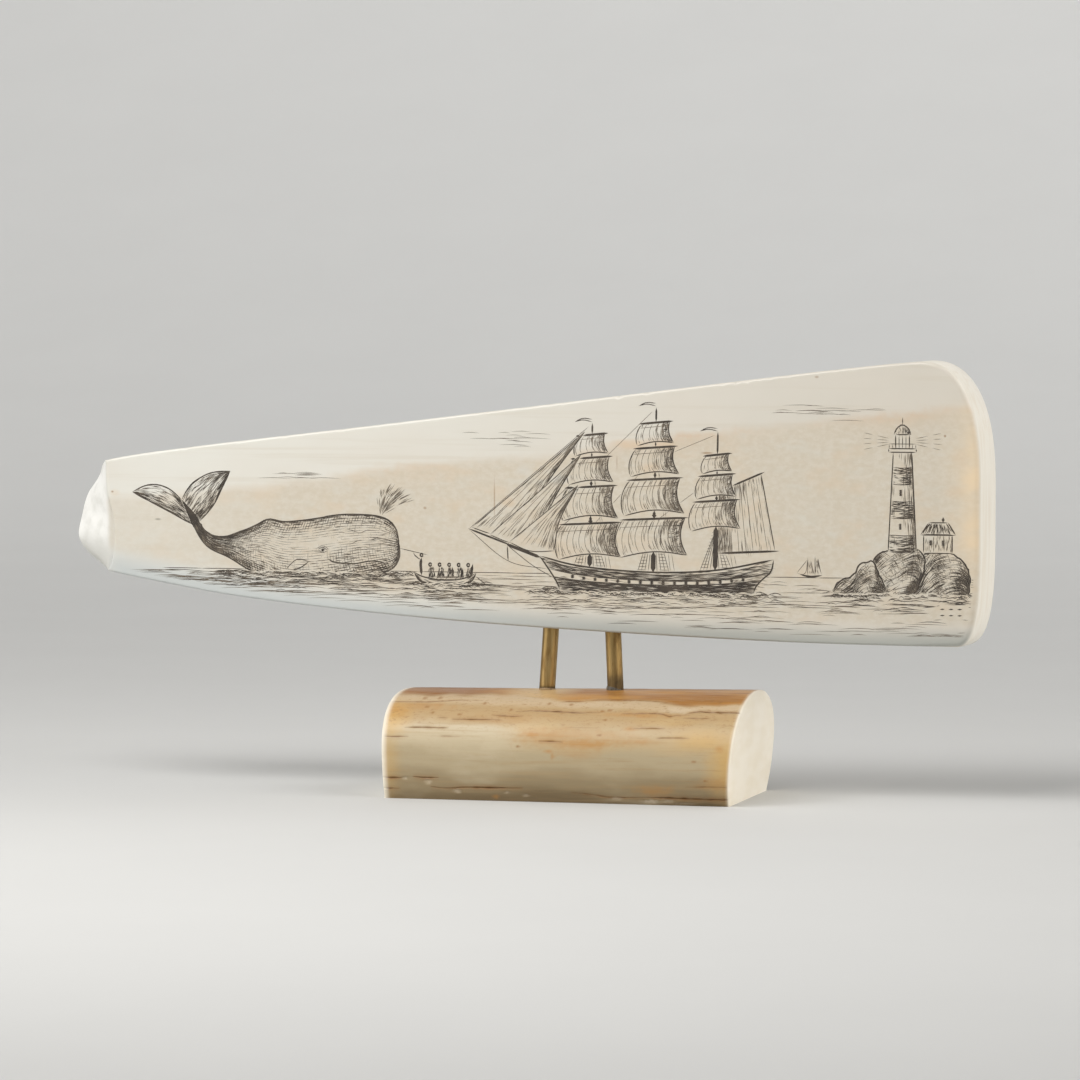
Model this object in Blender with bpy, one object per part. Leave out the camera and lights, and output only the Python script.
"""Scrimshaw plaque on a stand: a slab of tusk held upright on two brass rods over a tusk foot.

The frame is +X along the plaque towards its broad end, -Y towards the front, +Z up, with the origin at
the centre of the foot's flat underside. Dimensions are in millimetres and turned to metres on the way in.
"""

import math

import bmesh
import bpy
from mathutils import Vector

MM = 0.001

# Plaque: a slab standing on its long edge, its flat face towards -Y.
THICKNESS = 12.0
FRONT_Y = -THICKNESS / 2
WIDEST_Y = 2.4
BACK_Y = THICKNESS / 2
ARRIS = 0.5
BACK_ROUNDING = 1.0
FRONT_REACH = 81.7
WIDEST_REACH = 83.1
BACK_REACH = 82.6

# The plaque's long edges, from (x, z) places: they draw together towards the narrow end.
TOP_EDGE = (
    (-100.0, 64.3),
    (-94.0, 65.7),
    (-86.0, 67.0),
    (-70.0, 69.1),
    (-42.0, 72.45),
    (-10.0, 76.4),
    (22.0, 80.4),
    (46.0, 83.4),
    (62.0, 85.2),
    (70.0, 85.9),
)
BOTTOM_EDGE = (
    (-100.0, 44.5),
    (-94.0, 42.8),
    (-86.0, 41.3),
    (-70.0, 38.65),
    (-46.0, 36.1),
    (-18.0, 33.95),
    (14.0, 32.35),
    (46.0, 31.25),
    (76.5, 30.9),
)
TOP_LEFT_X = -95.9
BOTTOM_LEFT_X = -95.4

# The broad end's corners are superellipses between the long edges and the straight part of the side.
SIDE_TOP_Z = 62.0
SIDE_BOTTOM_Z = 53.0
TOP_CORNER_EXPONENT = 2.4
BOTTOM_CORNER_EXPONENT = 3.0

# Narrow end of the plaque: a break that slopes back from the face to a tip. At each depth its corners lie
# "shift" further out than at the face, and "bow" gives (share of the way down, distance outwards) between.
BREAK_AT_FACE = {
    "shift": 0.0,
    "bow": ((0.0, 0.0), (0.27, -0.05), (0.5, -1.15), (0.72, -1.35), (0.88, -0.9), (1.0, 0.0)),
}
BREAK_AT_TIP = {
    "shift": 3.0,
    "bow": ((0.0, 0.2), (0.16, 1.7), (0.32, 3.7), (0.5, 5.1), (0.68, 6.0), (0.8, 5.4), (0.9, 3.9), (1, 1.2)),
}
BREAK_AT_BACK = {
    "shift": 2.6,
    "bow": ((0.0, 0.0), (0.3, 2.6), (0.66, 4.6), (0.84, 3.6), (1.0, 0.4)),
}

# Foot: a length of tusk whose section is a flattened oval, cut off flat below.
FOOT_LENGTH = 69.3
OVAL_CENTRE_Z = 8.6
LEFT_OVAL = {"centre_y": 0.1, "half_width": 17.9, "rise": 11.65, "fall": 18.0, "exponent": 2.45}
RIGHT_OVAL = {"centre_y": 0.5, "half_width": 19.4, "rise": 12.7, "fall": 15.0, "exponent": 2.2}
LEFT_END_LEAN = -0.028
RIGHT_END_LEAN = 0.09
FOOT_ARRIS = 0.45

# Rods: each from a point on the foot to a point on the plaque's underside, both at the middle of the slab.
ROD_DIAMETER = 3.175
ROD_SIDES = 40
ROD_BEVEL = 0.25
SOCKET_DEPTH = 8.0
GAP = 0.3
RODS = {
    "rod_left": ((-5.96, 20.7), (-5.13, 33.2)),
    "rod_right": ((7.97, 20.9), (7.45, 32.6)),
}

MATERIALS = {
    "plaque": {"color": (0.62, 0.57, 0.47), "roughness": 0.32, "metallic": 0.0},
    "rod_left": {"color": (0.72, 0.52, 0.22), "roughness": 0.25, "metallic": 1.0},
    "rod_right": {"color": (0.72, 0.52, 0.22), "roughness": 0.25, "metallic": 1.0},
    "base": {"color": (0.54, 0.41, 0.25), "roughness": 0.42, "metallic": 0.0},
}


def clear_scene():
    for item in list(bpy.data.objects):
        bpy.data.objects.remove(item, do_unlink=True)


def material_for(name):
    look = MATERIALS[name]
    material = bpy.data.materials.new(name)
    material.use_nodes = True
    shader = material.node_tree.nodes["Principled BSDF"]
    shader.inputs["Base Color"].default_value = (*look["color"], 1.0)
    shader.inputs["Roughness"].default_value = look["roughness"]
    shader.inputs["Metallic"].default_value = look["metallic"]
    return material


def along(knots, place):
    """The second value of a list of (place, value) knots, joined by a smooth curve."""
    last = len(knots) - 1
    number = 0
    while number < last - 1 and place > knots[number + 1][0]:
        number += 1

    def slope(k):
        before = knots[max(k - 1, 0)]
        after = knots[min(k + 1, last)]
        return (after[1] - before[1]) / (after[0] - before[0])

    start_place, start = knots[number]
    end_place, end = knots[number + 1]
    span = end_place - start_place
    t = (place - start_place) / span
    ease = t * t * (3 - 2 * t)
    leave = t * (1 - t) ** 2 * span * slope(number)
    arrive = t * t * (t - 1) * span * slope(number + 1)
    return start + (end - start) * ease + leave + arrive


def steps(count, ends=(True, False)):
    """Shares from 0 to 1 in equal steps, with or without each end."""
    first = 0 if ends[0] else 1
    last = count if ends[1] else count - 1
    return [i / count for i in range(first, last + 1)]


def power(value, exponent):
    return math.copysign(abs(value) ** exponent, value)


def corner(centre, size, exponent, start_deg, end_deg, share):
    """A point on a superellipse round a corner of the plaque."""
    angle = math.radians(start_deg + (end_deg - start_deg) * share)
    x = centre[0] + size[0] * power(math.cos(angle), 2 / exponent)
    z = centre[1] + size[1] * power(math.sin(angle), 2 / exponent)
    return x, z


def plaque_outline(reach, narrow_end):
    """The plaque's outline, clockwise from its top left corner as seen from the front."""
    top_left_x = TOP_LEFT_X - narrow_end["shift"]
    bottom_left_x = BOTTOM_LEFT_X - narrow_end["shift"]
    top_right_x, top_right_z = TOP_EDGE[-1]
    bottom_right_x, bottom_right_z = BOTTOM_EDGE[-1]
    top_run = [top_left_x + (top_right_x - top_left_x) * s for s in steps(30)]
    points = [(x, along(TOP_EDGE, x)) for x in top_run]
    high = (top_right_x, SIDE_TOP_Z)
    size = (reach - top_right_x, top_right_z - SIDE_TOP_Z)
    points += [corner(high, size, TOP_CORNER_EXPONENT, 90, 0, s) for s in steps(14)]
    points += [(reach, SIDE_TOP_Z + (SIDE_BOTTOM_Z - SIDE_TOP_Z) * s) for s in steps(2)]
    low = (bottom_right_x, SIDE_BOTTOM_Z)
    size = (reach - bottom_right_x, SIDE_BOTTOM_Z - bottom_right_z)
    points += [corner(low, size, BOTTOM_CORNER_EXPONENT, 0, -90, s) for s in steps(14)]
    bottom_run = [bottom_right_x + (bottom_left_x - bottom_right_x) * s for s in steps(30)]
    points += [(x, along(BOTTOM_EDGE, x)) for x in bottom_run]
    high_z = along(TOP_EDGE, top_left_x)
    low_z = along(BOTTOM_EDGE, bottom_left_x)
    for s in steps(20):
        down = 1 - s
        x = top_left_x + (bottom_left_x - top_left_x) * down
        points.append((x - along(narrow_end["bow"], down), high_z + (low_z - high_z) * down))
    return points


def blended(first, second, share):
    return [(a[0] + (b[0] - a[0]) * share, a[1] + (b[1] - a[1]) * share) for a, b in zip(first, second)]


def inset(points, distance):
    """The outline moved inwards by a distance, for a clockwise outline."""
    moved = []
    for i, (x, z) in enumerate(points):
        before = Vector(points[i - 1])
        after = Vector(points[(i + 1) % len(points)])
        run = (after - before).normalized()
        moved.append((x + run.y * distance, z - run.x * distance))
    return moved


def skin(mesh, rings):
    """Faces between rings of the same number of points, and a face over each end."""
    loops = [[mesh.verts.new(Vector(point) * MM) for point in ring] for ring in rings]
    count = len(loops[0])
    for lower, upper in zip(loops, loops[1:]):
        for i in range(count):
            j = (i + 1) % count
            mesh.faces.new((lower[i], lower[j], upper[j], upper[i]))
    mesh.faces.new(reversed(loops[0]))
    mesh.faces.new(loops[-1])


def add_object(name, mesh, parent):
    bmesh.ops.recalc_face_normals(mesh, faces=mesh.faces)
    data = bpy.data.meshes.new(name)
    mesh.to_mesh(data)
    mesh.free()
    data.shade_smooth()
    data.set_sharp_from_angle(angle=math.radians(35))
    item = bpy.data.objects.new(name, data)
    item.parent = parent
    bpy.context.scene.collection.objects.link(item)
    return item


def make_plaque(parent):
    """Rings from the flat face to the back: a small arris, sides that swell, and a rounded back edge."""
    face = plaque_outline(FRONT_REACH, BREAK_AT_FACE)
    widest = plaque_outline(WIDEST_REACH, BREAK_AT_TIP)
    back = plaque_outline(BACK_REACH, BREAK_AT_BACK)
    rings = []
    for angle in (0, 45, 90):
        turn = math.radians(angle)
        rings.append((FRONT_Y + ARRIS * (1 - math.cos(turn)), inset(face, ARRIS * (1 - math.sin(turn)))))
    start = FRONT_Y + ARRIS
    for share in (0.33, 0.67, 1.0):
        y = start + (WIDEST_Y - start) * share
        outline = blended(face, widest, share)
        swell = math.sin(math.pi / 2 * share) - share
        reach = swell * (WIDEST_REACH - FRONT_REACH)
        outline = [(x + reach if x > TOP_EDGE[-1][0] else x, z) for x, z in outline]
        rings.append((y, outline))
    for angle in (0, 30, 60, 90):
        turn = math.radians(angle)
        y = BACK_Y - BACK_ROUNDING * (1 - math.sin(turn))
        rings.append((y, inset(back, BACK_ROUNDING * (1 - math.cos(turn)))))
    mesh = bmesh.new()
    skin(mesh, [[(x, y, z) for x, z in outline] for y, outline in rings])
    return add_object("plaque", mesh, parent)


def oval_value(name, share):
    return LEFT_OVAL[name] + (RIGHT_OVAL[name] - LEFT_OVAL[name]) * share


def foot_section(share, trim):
    """The foot's section in (y, z), from the front bottom corner over the top to the back bottom corner."""
    half_width = oval_value("half_width", share) - trim
    rise = oval_value("rise", share) - trim
    fall = oval_value("fall", share)
    exponent = oval_value("exponent", share)
    dip = math.asin((OVAL_CENTRE_Z / fall) ** (exponent / 2))
    section = []
    for s in steps(48, ends=(True, True)):
        angle = -dip + (math.pi + 2 * dip) * s
        y = oval_value("centre_y", share) - half_width * power(math.cos(angle), 2 / exponent)
        height = rise if 0 < angle < math.pi else fall
        section.append((y, OVAL_CENTRE_Z + height * power(math.sin(angle), 2 / exponent)))
    section[0] = (section[0][0], 0.0)
    section[-1] = (section[-1][0], 0.0)
    return section


def make_foot(parent):
    """Sections along the foot between its two end cuts, which lean out at the top."""
    stations = [(0.0, 0.0, FOOT_ARRIS), (0.0, 0.3 * FOOT_ARRIS, 0.3 * FOOT_ARRIS), (0.0, FOOT_ARRIS, 0.0)]
    stations += [(share, 0.0, 0.0) for share in (0.25, 0.5, 0.75)]
    stations += [(1.0, -FOOT_ARRIS, 0.0), (1.0, -0.3 * FOOT_ARRIS, 0.3 * FOOT_ARRIS), (1.0, 0.0, FOOT_ARRIS)]
    rings = []
    for share, shift, trim in stations:
        lean = LEFT_END_LEAN + (RIGHT_END_LEAN - LEFT_END_LEAN) * share
        x = FOOT_LENGTH * (share - 0.5) + shift
        rings.append([(x + lean * z, y, z) for y, z in foot_section(share, trim)])
    mesh = bmesh.new()
    skin(mesh, rings)
    return add_object("base", mesh, parent)


def rod_line(name):
    """The middle of a rod and the way from where it leaves the foot to where it enters the plaque."""
    (foot_x, foot_z), (top_x, top_z) = RODS[name]
    foot = Vector((foot_x, 0.0, foot_z))
    top = Vector((top_x, 0.0, top_z))
    return (foot + top) / 2, top - foot


def make_cylinder(name, radius, bevel, line, length, parent):
    middle, direction = line
    mesh = bmesh.new()
    bmesh.ops.create_cone(
        mesh,
        cap_ends=True,
        segments=ROD_SIDES,
        radius1=radius * MM,
        radius2=radius * MM,
        depth=length * MM,
    )
    if bevel:
        rims = [e for e in mesh.edges if any(len(f.verts) > 4 for f in e.link_faces)]
        bmesh.ops.bevel(mesh, geom=rims, offset=bevel * MM, segments=1, affect="EDGES")
    item = add_object(name, mesh, parent)
    item.location = middle * MM
    item.rotation_euler = direction.to_track_quat("Z", "Y").to_euler()
    return item


def make_rod(name, parent):
    line = rod_line(name)
    length = line[1].length + 2 * (SOCKET_DEPTH - GAP)
    return make_cylinder(name, ROD_DIAMETER / 2, ROD_BEVEL, line, length, parent)


def drill(name, targets, parent):
    """Cuts the sockets of one rod, a little wider and deeper than the rod, into the foot and the plaque."""
    line = rod_line(name)
    length = line[1].length + 2 * SOCKET_DEPTH
    drill_bit = make_cylinder(name + "_drill", ROD_DIAMETER / 2 + GAP, 0, line, length, parent)
    drill_bit.hide_render = True
    drill_bit.display_type = "WIRE"
    for target in targets:
        cut = target.modifiers.new(name + "_socket", "BOOLEAN")
        cut.operation = "DIFFERENCE"
        cut.solver = "EXACT"
        cut.object = drill_bit


def main():
    clear_scene()
    stand = bpy.data.objects.new("stand", None)
    bpy.context.scene.collection.objects.link(stand)
    plaque = make_plaque(stand)
    foot = make_foot(stand)
    pieces = [plaque, foot]
    for name in RODS:
        pieces.append(make_rod(name, stand))
        drill(name, (plaque, foot), stand)
    for item in pieces:
        item.data.materials.append(material_for(item.name))


main()
